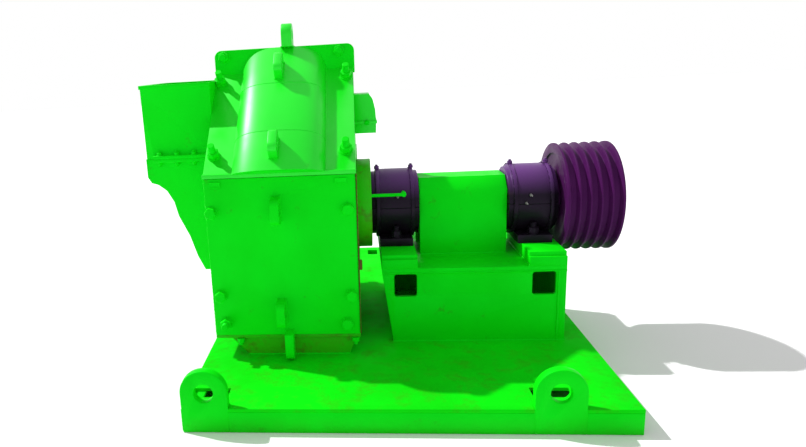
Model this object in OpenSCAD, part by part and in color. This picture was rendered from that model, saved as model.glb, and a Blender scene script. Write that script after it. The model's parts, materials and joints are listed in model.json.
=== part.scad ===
// Impact crusher on a fabricated base: bolted housing, side feed chute,
// overhung rotor, two plummer blocks on a pedestal and a grooved belt pulley.
// Millimetres. X runs along the shaft towards the pulley, -Y is the front, Z is up.
// The origin is the middle of the base's underside.

/* [Base] */
// Length of the base along the shaft
base_len = 1380; // [1200:10:1600]
// Depth of the base from front to rear
base_dep = 1780; // [1600:10:2000]
// Height of the deck above the floor
base_h = 82; // [70:1:120]
// Thickness of the deck plate
deck_t = 12; // [8:1:20]
// Width of a rail's flanges
rail_w = 50; // [40:1:80]
// Thickness of a rail's web
rail_web = 8; // [6:1:12]
// Thickness of a rail's flanges
rail_flange = 9; // [6:1:12]
// Distance from the rear edge to the clamp cut-outs
cutout_inset = 52; // [30:5:80]
// Width of a clamp cut-out
cutout_w = 50; // [30:1:60]
// Length of a clamp cut-out
cutout_len = 80; // [60:1:120]

/* [Pad eyes] */
// Outer radius of a pad eye
eye_r = 75; // [60:1:90]
// Radius of a pad eye's hole
eye_hole_r = 31; // [20:1:40]
// Thickness of a pad eye
eye_t = 30; // [20:1:40]
// Height of a pad eye's hole above the floor
eye_z = 133; // [120:1:160]
// Distance of the right pad eyes' holes from the right end
eye_right_inset = 235; // [100:5:400]
// Length of the sling slot behind a pad eye
sling_len = 120; // [80:5:150]
// Width of the sling slot
sling_w = 60; // [40:5:80]
// Distance of the sling slot behind the pad eye
sling_gap = 46; // [30:1:80]

/* [Rotor] */
// Height of the shaft's axis above the floor
shaft_z = 555; // [500:5:600]
// Distance of the shaft's axis from the base's front edge
shaft_inset = 782; // [700:1:850]
// Radius of the shaft in its bearings
shaft_r = 50; // [40:1:60]
// Radius of the shaft's end in the pulley
shaft_end_r = 42; // [35:1:48]
// Radial running clearance of the shaft in its bearings
run_gap = 0.05; // [0.01:0.01:0.1]
// Radius of the rotor's hub
hub_r = 85; // [70:1:100]
// Depth of the rotor's discs' edge inside the hammers' sweep
disc_drop = 60; // [40:5:90]
// Thickness of a rotor disc
disc_t = 24; // [16:1:32]
// Number of rotor discs
disc_n = 4; // [3:1:5]
// Length of the rotor between its outer disc faces
rotor_len = 350; // [300:5:400]
// Number of hammers round the rotor
hammer_n = 6; // [4:1:8]
// Distance from the hammers' sweep to the breaker bars
hammer_clear = 30; // [20:1:50]
// Thickness of a hammer
hammer_t = 46; // [30:1:60]
// Radial depth of a hammer
hammer_d = 110; // [80:1:130]
// Radius of a hammer pin
pin_r = 16; // [12:1:20]

/* [Pulley] */
// Outer radius of the pulley
pulley_r = 206; // [180:1:220]
// Distance between the grooves
groove_pitch = 37; // [25:0.5:45]
// Number of grooves
groove_n = 5; // [3:1:8]
// Distance from the first groove's middle to the pulley's face
groove_edge = 24; // [18:1:28]
// Width of a groove at its mouth
groove_top = 32.6; // [22:0.1:36]
// Width of a groove at its bottom
groove_low = 18; // [8:0.1:24]
// Depth of a groove
groove_deep = 20; // [14:1:30]
// Thickness of the rim under the grooves
rim_t = 18; // [12:1:25]
// Thickness of the pulley's web
web_t = 26; // [16:1:40]
// Depth of the pulley's web behind its left face
web_in = 6; // [2:1:60]
// Radius of the pulley's hub
pulley_hub_r = 78; // [60:1:90]
// Gap between the outboard bearing and the pulley
pulley_gap = 10; // [8:1:60]

/* [Housing] */
// Width of the housing along the shaft
house_w = 525; // [480:5:560]
// Distance from the base's left end to the housing
house_inset = 40; // [20:5:80]
// Distance of the discharge skirt from the housing's left side
skirt_in0 = 117; // [80:1:140]
// Distance of the discharge skirt from the housing's right side
skirt_in1 = 42; // [20:1:80]
// Flare of the discharge skirt at its top, on the left
flare_x0 = 66; // [20:1:90]
// Flare of the discharge skirt at its top, on the right
flare_x1 = 32; // [10:1:40]
// Thickness of the side plates
side_t = 14; // [10:1:20]
// Distance from the shaft to the front of the side plates
house_half = 386; // [360:1:420]
// Height of the housing's underside
house_z0 = 152; // [140:1:180]
// Thickness of the housing's bottom flange
bottom_t = 12; // [8:1:20]
// Height where the sloped cover begins
knee_z = 744; // [700:1:780]
// Height of the side plates' top
crown_z = 1066; // [1030:1:1100]
// Half width of the flat at the side plates' top
crown_half = 16; // [12:1:24]
// Thickness of the front and rear frames
frame_t = 14; // [10:1:20]
// Width of the frames' borders
frame_w = 42; // [30:1:60]
// Thickness of a door
door_t = 14; // [10:1:20]
// Margin of a door inside its frame
door_margin = 4; // [2:1:8]
// Gap between a door and the lip over it
door_gap = 2; // [1:1:6]
// Distance of a door above the housing's underside
door_rise = 18; // [14:1:24]
// Width of the plate lug under a door
foot_lug_w = 30; // [20:1:50]
// Height of the plate lug under a door
foot_lug_h = 98; // [80:1:99]
// Depth of the plate lug under a door
foot_lug_d = 52; // [40:1:60]
// Thickness of the liner plates
liner_t = 20; // [12:1:30]
// Gap between a liner and the frame round it
liner_gap = 6; // [5:1:10]

/* [Covers] */
// Thickness of the sloped covers
cover_t = 14; // [10:1:20]
// Half width of the raised vault
vault_half = 161; // [140:1:180]
// Height of the raised vault above the slope
vault_h = 78; // [60:1:100]
// Thickness of the vault's shell
vault_t = 10; // [8:1:14]
// Number of flats in the vault's shell
vault_n = 24; // [12:2:32]
// Depth of the lip over a door
lip_d = 30; // [20:1:40]
// Height of the split flange above the side plates
split_h = 109; // [90:1:120]
// Thickness of one split flange
split_t = 16; // [12:1:20]
// Overhang of the split flange past the housing's sides
split_over = 6; // [0:1:12]
// Corner radius of the split flange
split_r = 28; // [10:1:40]
// Thickness of a breaker bar
breaker_t = 36; // [24:1:44]
// Width of a breaker bar
breaker_w = 90; // [60:5:120]

/* [Lugs] */
// Thickness of the cover and door lugs
lug_t = 30; // [20:1:40]
// Length of a lug along its plate
lug_len = 90; // [60:1:100]
// Height of a lug above its plate
lug_h = 62; // [45:1:80]
// Radius of a lug's hole
lug_hole_r = 14; // [10:1:18]
// Shift of the lugs from the housing's middle
lug_shift = -8; // [-30:1:30]
// Distance of the lower cover lugs up the slope
lug_low = 2; // [0:1:60]
// Distance of the upper cover lugs up the slope
lug_high = 386; // [300:1:390]
// Distance of the upper door lugs below the door's top
door_lug_high = 70; // [50:1:100]
// Distance of the lower door lugs below the door's top
door_lug_low = 440; // [380:5:480]
// Height of the lifting lug over the split flange
lift_h = 86; // [70:1:100]
// Thickness of the lifting lug
lift_t = 40; // [30:1:50]
// Width of the lifting lug
lift_w = 80; // [60:1:84]
// Radius of the lifting lug's hole
lift_hole_r = 20; // [14:1:26]

/* [Feed chute] */
// Width of the chute across the shaft
chute_w = 350; // [300:5:400]
// Thickness of the chute's walls
chute_t = 8; // [6:1:12]
// Distance the chute stands out from the housing
chute_out = 265; // [220:5:300]
// Height of the chute's mouth
chute_top = 1063; // [1000:1:1100]
// Height of the joint between the chute's halves
chute_split = 789; // [740:1:820]
// Height where the lower chute's outer wall turns inwards
chute_knee = 718; // [690:1:740]
// Height of the lower chute's toe
chute_toe = 345; // [320:1:380]
// Reach of the lower chute's underside from its outer wall to its toe
chute_reach = 194; // [160:1:220]
// Height of the chute's mouth rim
rim_h = 14; // [8:1:20]
// Overhang of the mouth rim
rim_over = 4; // [2:1:10]
// Thickness of one joint flange
joint_t = 13; // [8:1:16]
// Distance of the joint flange from the chute's outer wall
joint_in = 30; // [10:1:60]
// Depth of the joint flange
joint_d = 24; // [16:1:32]
// Length of the joint flange
joint_len = 206; // [160:2:240]
// Margin of the side inlet inside the chute's walls
inlet_margin = 27; // [10:1:40]
// Height of the side inlet's lower edge
inlet_z0 = 420; // [380:5:460]
// Height of the side inlet's upper edge
inlet_z1 = 770; // [700:5:780]

/* [Pedestal] */
// Distance from the shaft's axis to the pedestal's front
ped_half = 284; // [250:1:320]
// Distance from the housing to the pedestal's top
ped_gap = 84; // [70:1:120]
// Distance from the pedestal to the base's right end
ped_inset = 82; // [60:1:140]
// Lean of the pedestal's left end
ped_lean = 37; // [0:1:60]
// Thickness of the pedestal's walls
ped_t = 14; // [8:1:20]
// Width of the right corner post
post_w = 28; // [20:1:40]
// Height of the top plate's underside
ped_top = 347; // [320:1:370]
// Thickness of the top plate
top_t = 17; // [12:1:24]
// Height of the bearing seats
seat_h = 49; // [30:1:60]
// Height of the step in a bearing seat's front and rear
seat_step_h = 15; // [8:1:24]
// Depth of the step in a bearing seat's front and rear
seat_step_d = 12; // [6:1:20]
// Length of a bearing seat along the shaft
seat_len = 128; // [100:1:150]
// Width of a window
window_w = 82; // [60:1:100]
// Height of a window
window_h = 86; // [60:1:100]
// Corner radius of a window
window_r = 10; // [5:1:20]
// Gap between a window and the top plate
window_drop = 4; // [2:1:20]
// Distance of the left window from the pedestal's top corner
window_in0 = 43; // [30:1:60]
// Distance of the right window from the right end
window_in1 = 36; // [30:1:60]

/* [Bearings] */
// Radius of a bearing's body
brg_r = 133; // [120:1:150]
// Width of a bearing's body
brg_w = 146; // [120:1:170]
// Radius of a bearing's end cover
brg_end_r = 124; // [100:1:130]
// Thickness of a bearing's end cover
brg_end_t = 16; // [10:1:24]
// Length of a bearing's foot across the shaft
foot_len = 310; // [280:2:340]
// Width of a bearing's foot along the shaft
foot_w = 124; // [90:2:130]
// Thickness of a bearing's foot
foot_t = 30; // [20:1:40]
// Distance from the pedestal's left end to the inboard bearing
brg_in_inset = 61; // [50:1:70]
// Distance from the outboard bearing to the pedestal's right end
brg_out_inset = 80; // [60:1:90]
// Radius of a foot bolt's hole
foot_hole_r = 13; // [10:0.5:16]
// Distance between the foot bolts
foot_pitch = 250; // [220:2:280]

/* [Guard and seal] */
// Radius of the seal housing
seal_r = 175; // [150:1:190]
// Radial gap between the shaft and the seal housing
seal_gap = 8; // [5:1:15]
// Gap between the shaft guard and a bearing
guard_gap = 3; // [1:1:8]
// Width of the shaft guard
guard_w = 200; // [180:2:240]
// Height of the shaft guard's top above the shaft
guard_up = 102; // [80:1:120]
// Width of the shaft guard's bevelled corners
guard_bevel = 46; // [20:1:70]
// Thickness of the shaft guard
guard_t = 5; // [3:1:8]
// Radius of the grease pipe
pipe_r = 6; // [4:0.5:8]

/* [Vent hood] */
// Depth of the vent hood across the shaft
hood_w = 120; // [80:5:150]
// Reach of the vent hood from the side plate
hood_out = 84; // [60:1:100]
// Height of the vent hood's underside
hood_z0 = 838; // [800:1:860]
// Height of the vent hood's top
hood_z1 = 985; // [940:1:1000]
// Thickness of the vent hood's walls
hood_t = 6; // [4:1:8]
// Height of the vent hood's joint above its underside
hood_joint = 36; // [20:1:60]
// Thickness of the vent hood's joint flange
hood_rim_t = 10; // [6:1:16]
// Overhang of the vent hood's joint flange
hood_rim_over = 8; // [4:1:14]
// Margin of the vent opening inside the hood
vent_margin = 18; // [10:1:30]

/* [Hidden] */
$fn = 96;
eps = 1;
full_turn = 360;
half_turn = 180;
right_angle = 90;
half_len = base_len / 2;
half_dep = base_dep / 2;
rail_h = base_h - deck_t;
shaft_y = shaft_inset - half_dep;
house_x0 = house_inset - half_len;
house_x1 = house_x0 + house_w;
house_xc = (house_x0 + house_x1) / 2;
house_y0 = shaft_y - house_half;
plate_z0 = house_z0 + bottom_t;
slope_run = house_half - crown_half;
slope_rise = crown_z - knee_z;
slope_deg = atan2(slope_rise, slope_run);
slope_len = sqrt(slope_run * slope_run + slope_rise * slope_rise);
slope_dist = ((crown_z - shaft_z) * slope_run + crown_half * slope_rise) / slope_len;
hammer_r = slope_dist - breaker_t - hammer_clear;
disc_r = hammer_r - disc_drop;
skirt_t = 10;
seat_gap = 1;
// The lower chute's underside from its knee to its toe, as shares of its reach and height
chute_curve = [[0, 1], [0.07, 0.94], [0.2, 0.92], [0.36, 0.855], [0.485, 0.737], [0.55, 0.587],
    [0.74, 0.37], [0.866, 0.15], [1, 0]];
// The vent hood's outer face from its mouth to its top, as shares of its reach and height
hood_curve = [[0.95, 0], [0.97, 0.3], [0.94, 0.6], [0.84, 0.85], [0.66, 1]];
vault_seat = 4;
bar_places = [0.1, 0.42, 0.74];
door_lug_shift = -12;
lift_shift = 16;
pipe_wall = 3;
cutout_gap = 5;
lug_sink = 3;
skirt_x0 = house_x0 + skirt_in0;
skirt_x1 = house_x1 - skirt_in1;
eye_x0 = eye_r - half_len;
eye_x1 = half_len - eye_right_inset;
eyes = [eye_x0, eye_x1];
chute_y0 = shaft_y - chute_w / 2;
chute_x0 = house_x0 - chute_out;
pulley_w = 2 * groove_edge + (groove_n - 1) * groove_pitch;
brg_half = brg_w / 2 + brg_end_t;
ped_x0 = house_x1 + ped_gap;
ped_x1 = half_len - ped_inset;
brg_in_x = ped_x0 + brg_in_inset;
brg_out_x = ped_x1 - brg_out_inset;
pulley_x0 = brg_out_x + brg_half + pulley_gap;
seat_z = ped_top + top_t + seat_h;
rotor_x0 = house_xc - rotor_len / 2;
disc_step = (rotor_len - disc_t) / (disc_n - 1);
pin_c = hammer_r - hammer_d + hammer_t / 2;
pin_gap = 0.2;
hammer_tip = 2;
shaft_out = 10;
hub_drop = 24;
shaft_x0 = rotor_x0 - shaft_out;
shaft_x1 = pulley_x0 + pulley_w - hub_drop + shaft_out / 2;
seal_x1 = brg_in_x - brg_half - seat_gap;
guard_x0 = brg_in_x + brg_half + guard_gap;
guard_len = brg_out_x - brg_half - guard_gap - guard_x0;
green = [0.03, 0.62, 0.08];
purple = [0.12, 0.03, 0.16];
steel = [0.45, 0.46, 0.47];

// A cylinder along X from x0, about the shaft's axis unless moved
module rod(x0, len, r) {
    translate([x0, shaft_y, shaft_z]) rotate([0, right_angle, 0]) cylinder(r = r, h = len);
}

// Turns what the front half has into the rear half's
module to_rear() {
    translate([0, 2 * shaft_y, 0]) mirror([0, 1, 0]) children();
}

// A box from one corner to the opposite one
module block(a, b) {
    translate(a) cube([b[0] - a[0], b[1] - a[1], b[2] - a[2]]);
}

// An outline in the YZ plane, extruded along X from x0
module along_x(x0, len) {
    translate([x0, 0, 0]) rotate([right_angle, 0, right_angle]) linear_extrude(height = len) children();
}

// An outline in the XZ plane, extruded along Y from y0 to y1
module along_y(y0, y1) {
    translate([0, y1, 0]) rotate([right_angle, 0, 0]) linear_extrude(height = y1 - y0) children();
}

// A channel along X with its web at the front face
module channel(len) {
    difference() {
        translate([-len / 2, 0, 0]) cube([len, rail_w, rail_h]);
        translate([-len / 2 - eps, rail_web, rail_flange])
            cube([len + 2 * eps, rail_w, rail_h - 2 * rail_flange]);
    }
}

// An I beam along Y, centred on X
module beam(len) {
    difference() {
        translate([-rail_w / 2, 0, 0]) cube([rail_w, len, rail_h]);
        for (s = [-1, 1])
            translate([s * (rail_w + rail_web) / 2 - rail_w / 2, -eps, rail_flange])
                cube([rail_w, len + 2 * eps, rail_h - 2 * rail_flange]);
    }
}

// The footprint of the front pad eyes, cut from the rail and the deck
module eye_notches() {
    for (x = eyes)
        block([x - eye_r, -half_dep - eps, -eps], [x + eye_r, -half_dep + eye_t, base_h + eps]);
}

module rail_front() {
    color(green) difference() {
        translate([0, -half_dep, 0]) channel(base_len);
        eye_notches();
    }
}

module rail_rear() {
    mirror([0, 1, 0]) rail_front();
}

module rail_left() {
    color(green) rotate([0, 0, -right_angle])
        translate([0, -half_len, 0]) channel(base_dep - 2 * rail_w);
}

module rail_right() {
    mirror([1, 0, 0]) rail_left();
}

// The long beam under the middle and the short ones beside it
module cross_beams() {
    inner = half_len - rail_w - rail_w / 2;
    color(green) {
        translate([0, -half_dep + rail_w, 0]) beam(base_dep - 2 * rail_w);
        for (y = [house_y0 - rail_w, shaft_y + house_half + rail_w])
            translate([-rail_w / 2, y, 0]) rotate([0, 0, right_angle]) beam(inner);
        for (y = [shaft_y - ped_half + rail_w / 2, shaft_y + ped_half - rail_w / 2])
            translate([half_len - rail_w, y, 0]) rotate([0, 0, right_angle]) beam(inner);
    }
}

module deck_plate() {
    sling_y = half_dep - eye_t - sling_gap;
    cut_y = half_dep - cutout_inset;
    color(green) difference() {
        block([-half_len, -half_dep, rail_h], [half_len, half_dep, base_h]);
        eye_notches();
        mirror([0, 1, 0]) eye_notches();
        block([skirt_x0 + skirt_t, house_y0 + skirt_t, 0],
            [skirt_x1 - skirt_t, shaft_y + house_half - skirt_t, base_h + eps]);
        for (x = eyes, s = [-1, 1])
            translate([x - sling_len / 2, s * (sling_y - sling_w / 2) - sling_w / 2, 0])
                cube([sling_len, sling_w, base_h + eps]);
        for (x = [-cutout_w - rail_w / 2 - cutout_gap, rail_w / 2 + cutout_gap])
            translate([x, cut_y - cutout_len, 0]) cube([cutout_w, cutout_len, base_h + eps]);
    }
}

// One pad eye standing flush with the base's front face
module pad_eye(x) {
    color(green) translate([x, -half_dep, 0]) difference() {
        union() {
            translate([-eye_r, 0, 0]) cube([2 * eye_r, eye_t, eye_z]);
            translate([0, eye_t, eye_z]) rotate([right_angle, 0, 0]) cylinder(r = eye_r, h = eye_t);
        }
        translate([0, eye_t + eps, eye_z]) rotate([right_angle, 0, 0])
            cylinder(r = eye_hole_r, h = eye_t + 2 * eps);
    }
}

module eyes_front() {
    for (x = eyes) pad_eye(x);
}

module eyes_rear() {
    mirror([0, 1, 0]) eyes_front();
}

// The hopper's outline in the XZ plane, smaller by the given amount
module skirt_outline(in) {
    z0 = base_h - (in > 0 ? eps : 0);
    z1 = house_z0 + (in > 0 ? eps : 0);
    polygon([[skirt_x0 + in, z0], [skirt_x0 - flare_x0 + in, z1],
        [skirt_x1 + flare_x1 - in, z1], [skirt_x1 - in, z0]]);
}

// The hopper that leads the crushed material through the deck
module discharge_skirt() {
    color(green) difference() {
        along_y(house_y0, shaft_y + house_half) skirt_outline(0);
        along_y(house_y0 + skirt_t, shaft_y + house_half - skirt_t) skirt_outline(skirt_t);
    }
}

module housing_bottom() {
    color(green) difference() {
        block([house_x0, house_y0 - frame_t, house_z0],
            [house_x1, shaft_y + house_half + frame_t, plate_z0]);
        block([skirt_x0 + skirt_t, house_y0 + skirt_t, house_z0 - eps],
            [skirt_x1 - skirt_t, shaft_y + house_half - skirt_t, plate_z0 + eps]);
    }
}

// The outline of a side plate across the shaft
module side_outline() {
    polygon([[shaft_y - house_half, plate_z0], [shaft_y - house_half, knee_z],
        [shaft_y - crown_half, crown_z], [shaft_y + crown_half, crown_z],
        [shaft_y + house_half, knee_z], [shaft_y + house_half, plate_z0]]);
}

module side_left() {
    inlet_half = chute_w / 2 - inlet_margin;
    color(green) difference() {
        along_x(house_x0, side_t) side_outline();
        block([house_x0 - eps, shaft_y - inlet_half, inlet_z0],
            [house_x0 + side_t + eps, shaft_y + inlet_half, inlet_z1]);
    }
}

module side_right() {
    vent_half = hood_w / 2 - vent_margin;
    color(green) difference() {
        along_x(house_x1 - side_t, side_t) side_outline();
        rod(house_x1 - side_t - eps, side_t + 2 * eps, shaft_r + seal_gap);
        block([house_x1 - side_t - eps, shaft_y - vent_half, hood_z0 + hood_joint + vent_margin],
            [house_x1 + eps, shaft_y + vent_half, hood_z1 - 2 * vent_margin]);
    }
}

module frame_front() {
    color(green) difference() {
        block([house_x0, house_y0 - frame_t, plate_z0], [house_x1, house_y0, knee_z]);
        block([house_x0 + frame_w, house_y0 - frame_t - eps, plate_z0 + frame_w],
            [house_x1 - frame_w, house_y0 + eps, knee_z - frame_w]);
    }
}

module frame_rear() {
    to_rear() frame_front();
}

// A lug in the YZ plane, rooted at the origin and standing towards +Z along +Y
module plate_lug() {
    along_x(-lug_t / 2, lug_t) difference() {
        union() {
            translate([0, -eps]) square([lug_len, lug_h - lug_len / 4 + eps]);
            translate([lug_len / 4, lug_h - lug_len / 4]) circle(r = lug_len / 4);
            translate([lug_len / 4, 0]) square([lug_len / 2, lug_h]);
            translate([lug_len * 3 / 4, lug_h - lug_len / 4]) circle(r = lug_len / 4);
        }
        translate([lug_len / 2, lug_h / 2]) circle(r = lug_hole_r);
    }
}

module door_front() {
    door_y = house_y0 - frame_t - door_t;
    lug_x = house_xc + door_lug_shift;
    color(green) {
        block([house_x0 + door_margin, door_y, house_z0 + door_rise],
            [house_x1 - door_margin, door_y + door_t, knee_z - door_gap]);
        for (z = [knee_z - door_lug_high, knee_z - door_lug_low])
            translate([lug_x, door_y, z]) rotate([right_angle, 0, 0]) mirror([0, 1, 0]) plate_lug();
        foot_lug(house_xc - door_lug_shift, door_y);
    }
}

// The plate under the door's front face, with a round lower end
module foot_lug(x, y) {
    z1 = house_z0 + 2 * door_rise;
    r = foot_lug_d / 2;
    along_x(x - foot_lug_w / 2, foot_lug_w) {
        translate([y - foot_lug_d, z1 - foot_lug_h + r]) square([foot_lug_d + eps, foot_lug_h - r]);
        translate([y - r, z1 - foot_lug_h + r]) circle(r = r);
    }
}

module door_rear() {
    to_rear() door_front();
}

// The wear plates behind the doors, inside the frames' openings
module liners() {
    liner();
    to_rear() liner();
}

module liner() {
    inset = frame_w + liner_gap;
    color(steel) block([house_x0 + inset, house_y0 - frame_t, plate_z0 + inset],
        [house_x1 - inset, house_y0 - frame_t + liner_t, knee_z - inset]);
}

// Places things on the front slope: Y runs up the slope and Z stands out of it
module on_slope() {
    translate([0, house_y0, knee_z]) rotate([slope_deg, 0, 0]) children();
}

// Half an ellipse, as the outline of the raised vault
module vault_outline(a, b) {
    polygon([for (i = [0:vault_n]) [a * cos(half_turn * i / vault_n), b * sin(half_turn * i / vault_n)]]);
}

// The upright flange where the two covers meet
module split_front() {
    z1 = crown_z + split_h;
    x0 = house_x0 - split_over;
    x1 = house_x1 + split_over;
    color(green) along_y(shaft_y - split_t, shaft_y) union() {
        translate([x0, crown_z]) square([x1 - x0, split_h - split_r]);
        translate([x0 + split_r, crown_z]) square([x1 - x0 - 2 * split_r, split_h]);
        for (x = [x0 + split_r, x1 - split_r]) translate([x, z1 - split_r]) circle(r = split_r);
    }
}

module split_rear() {
    to_rear() split_front();
}

// The lip over the door and the slope behind it, across the shaft
module slope_outline() {
    rise = cover_t / cos(slope_deg);
    bend = house_y0 - (rise - cover_t) / tan(slope_deg);
    polygon([[house_y0 - lip_d, knee_z], [house_y0, knee_z], [shaft_y - crown_half, crown_z],
        [shaft_y - crown_half, crown_z + rise], [bend, knee_z + cover_t],
        [house_y0 - lip_d, knee_z + cover_t]]);
}

// The solid under the raised vault's outside, cut off at the split flange
module vault_solid() {
    long = slope_len + 2 * lip_d;
    difference() {
        on_slope() translate([house_xc, long, vault_seat]) rotate([right_angle, 0, 0])
            linear_extrude(height = long) vault_outline(vault_half, vault_h);
        block([house_x0, shaft_y - crown_half, knee_z],
            [house_x1, shaft_y + house_half, crown_z + house_w]);
    }
}

module cover_front() {
    long = slope_len + 2 * lip_d;
    color(green) difference() {
        union() {
            along_x(house_x0, house_w) slope_outline();
            vault_solid();
        }
        on_slope() translate([house_xc, long, -eps]) rotate([right_angle, 0, 0])
            linear_extrude(height = long - vault_t)
                vault_outline(vault_half - vault_t, vault_h - vault_t + vault_seat);
    }
}

// The lugs along both vaults' crests, saddled to the vault's round top
module cover_lugs() {
    color(green) {
        lugs_on_vault();
        to_rear() lugs_on_vault();
    }
}

module lugs_on_vault() {
    difference() {
        for (y = [lug_low, lug_high])
            on_slope() translate([house_xc + lug_shift, y, vault_h + vault_seat - lug_sink]) plate_lug();
        vault_solid();
    }
}

module cover_rear() {
    to_rear() cover_front();
}

// Hard bars inside the covers that the hammers throw the material against
module breaker_bars() {
    color(steel) {
        for (t = bar_places) on_slope() bar_at(slope_len * t);
        to_rear() for (t = bar_places) on_slope() bar_at(slope_len * t);
    }
}

module bar_at(y) {
    translate([house_x0 + side_t, y, -breaker_t]) cube([house_w - 2 * side_t, breaker_w, breaker_t]);
}

module lifting_lug() {
    z0 = crown_z + split_h;
    top = z0 + lift_h - lift_w / 2;
    color(green) along_x(house_xc + lift_shift - lift_t / 2, lift_t) difference() {
        union() {
            translate([shaft_y - lift_w / 2, z0]) square([lift_w, top - z0]);
            translate([shaft_y, top]) circle(r = lift_w / 2);
        }
        translate([shaft_y, top]) circle(r = lift_hole_r);
    }
}

module chute_upper() {
    x1 = house_x0;
    z0 = chute_split;
    color(green) difference() {
        union() {
            block([chute_x0, chute_y0, z0], [x1, chute_y0 + chute_w, chute_top]);
            block([chute_x0 - rim_over, chute_y0 - rim_over, chute_top - rim_h],
                [x1, chute_y0 + chute_w + rim_over, chute_top]);
            joint_bar(z0);
        }
        block([chute_x0 + chute_t, chute_y0 + chute_t, z0 - eps],
            [x1 - chute_t, chute_y0 + chute_w - chute_t, chute_top + eps]);
    }
}

// One bar of the bolted joint on the chute's front face
module joint_bar(z) {
    translate([chute_x0 + joint_in, chute_y0 - joint_d, z]) cube([joint_len, joint_d + eps, joint_t]);
}

// The lower chute's outline, smaller by the given amount
module chute_outline(in) {
    x0 = chute_x0 - rim_over + in;
    x1 = house_x0 + (in > 0 ? eps : 0);
    z1 = chute_split + (in > 0 ? eps : 0);
    foot = chute_toe + in;
    curve = [for (p = chute_curve) [x0 + chute_reach * p[0], foot + (chute_knee - chute_toe) * p[1]]];
    polygon(concat([[x0, z1]], curve, [[x1, foot], [x1, z1]]));
}

module chute_lower() {
    color(green) difference() {
        union() {
            along_y(chute_y0, chute_y0 + chute_w) chute_outline(0);
            joint_bar(chute_split - joint_t);
        }
        along_y(chute_y0 + chute_t, chute_y0 + chute_w - chute_t) chute_outline(chute_t);
    }
}

// The hood's outline in the XZ plane, smaller by the given amount and open below
module hood_outline(in) {
    z0 = hood_z0 - (in > 0 ? eps : 0);
    curve = [for (p = hood_curve) [house_x1 + hood_out * p[0] - in, z0 + (hood_z1 - in - z0) * p[1]]];
    polygon(concat([[house_x1, z0]], curve, [[house_x1, hood_z1 - in]]));
}

module vent_hood() {
    y0 = shaft_y - hood_w / 2;
    y1 = shaft_y + hood_w / 2;
    jz = hood_z0 + hood_joint;
    color(green) difference() {
        union() {
            along_y(y0, y1) hood_outline(0);
            block([house_x1, y0 - hood_rim_over, jz],
                [house_x1 + hood_out + eps, y1 + hood_rim_over, jz + hood_rim_t]);
        }
        along_y(y0 + hood_t, y1 - hood_t) hood_outline(hood_t);
    }
}

module seal_housing() {
    color(green) difference() {
        rod(house_x1, seal_x1 - house_x1, seal_r);
        rod(house_x1 - eps, seal_x1 - house_x1 + 2 * eps, shaft_r + seal_gap);
    }
}

// A window's outline with rounded corners, its lower left corner at the origin
module window_outline() {
    for (x = [window_r, window_w - window_r], z = [window_r, window_h - window_r])
        translate([x, z]) circle(r = window_r);
    translate([window_r, 0]) square([window_w - 2 * window_r, window_h]);
    translate([0, window_r]) square([window_w, window_h - 2 * window_r]);
}

module pedestal_front() {
    y0 = shaft_y - ped_half;
    wz = ped_top - window_drop - window_h;
    color(green) difference() {
        along_y(y0, y0 + ped_t) polygon([[ped_x0 + ped_lean, base_h], [ped_x0, ped_top],
            [ped_x1 - post_w, ped_top], [ped_x1 - post_w, base_h]]);
        for (x = [ped_x0 + window_in0, ped_x1 - window_in1 - window_w])
            along_y(y0 - eps, y0 + ped_t + eps) translate([x, wz]) window_outline();
    }
}

module pedestal_back() {
    to_rear() pedestal_front();
}

// The leaning left end and the right end with its corner posts
module pedestal_ends() {
    y0 = shaft_y - ped_half;
    y1 = shaft_y + ped_half;
    color(green) {
        along_y(y0 + ped_t, y1 - ped_t) polygon([[ped_x0 + ped_lean, base_h], [ped_x0, ped_top],
            [ped_x0 + ped_t, ped_top], [ped_x0 + ped_lean + ped_t, base_h]]);
        block([ped_x1 - ped_t, y0 + ped_t, base_h], [ped_x1, y1 - ped_t, ped_top]);
        block([ped_x1 - post_w, y0, base_h], [ped_x1, y0 + ped_t, ped_top]);
        block([ped_x1 - post_w, y1 - ped_t, base_h], [ped_x1, y1, ped_top]);
    }
}

module pedestal_top() {
    color(green) difference() {
        block([ped_x0, shaft_y - ped_half, ped_top],
            [ped_x1, shaft_y + ped_half, ped_top + top_t]);
        foot_bolts(ped_top - eps, top_t + 2 * eps);
    }
}

// The holes for both bearings' foot bolts
module foot_bolts(z, h) {
    for (x = [brg_in_x, brg_out_x], s = [-1, 1])
        translate([x, shaft_y + s * foot_pitch / 2, z]) cylinder(r = foot_hole_r, h = h);
}

module seat(x0) {
    color(green) difference() {
        union() {
            block([x0, shaft_y - ped_half, ped_top + top_t],
                [x0 + seat_len, shaft_y + ped_half, seat_z - seat_step_h]);
            block([x0, shaft_y - ped_half + seat_step_d, ped_top + top_t],
                [x0 + seat_len, shaft_y + ped_half - seat_step_d, seat_z]);
        }
        foot_bolts(ped_top, top_t + seat_h + eps);
    }
}

module bearing_seats() {
    seat(ped_x0);
    seat(ped_x1 - seat_len);
}

// The whole outside of a bearing block about the given middle
module bearing_body(x) {
    rod(x - brg_w / 2, brg_w, brg_r);
    rod(x - brg_half, 2 * brg_half, brg_end_r);
}

module bearing_base(x) {
    color(purple) difference() {
        union() {
            intersection() {
                bearing_body(x);
                block([x - brg_half, shaft_y - brg_r, seat_z], [x + brg_half, shaft_y + brg_r, shaft_z]);
            }
            block([x - foot_w / 2, shaft_y - foot_len / 2, seat_z],
                [x + foot_w / 2, shaft_y + foot_len / 2, seat_z + foot_t]);
        }
        rod(x - brg_half - eps, 2 * brg_half + 2 * eps, shaft_r + run_gap);
        foot_bolts(seat_z - eps, foot_t + 2 * eps);
    }
}

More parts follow.
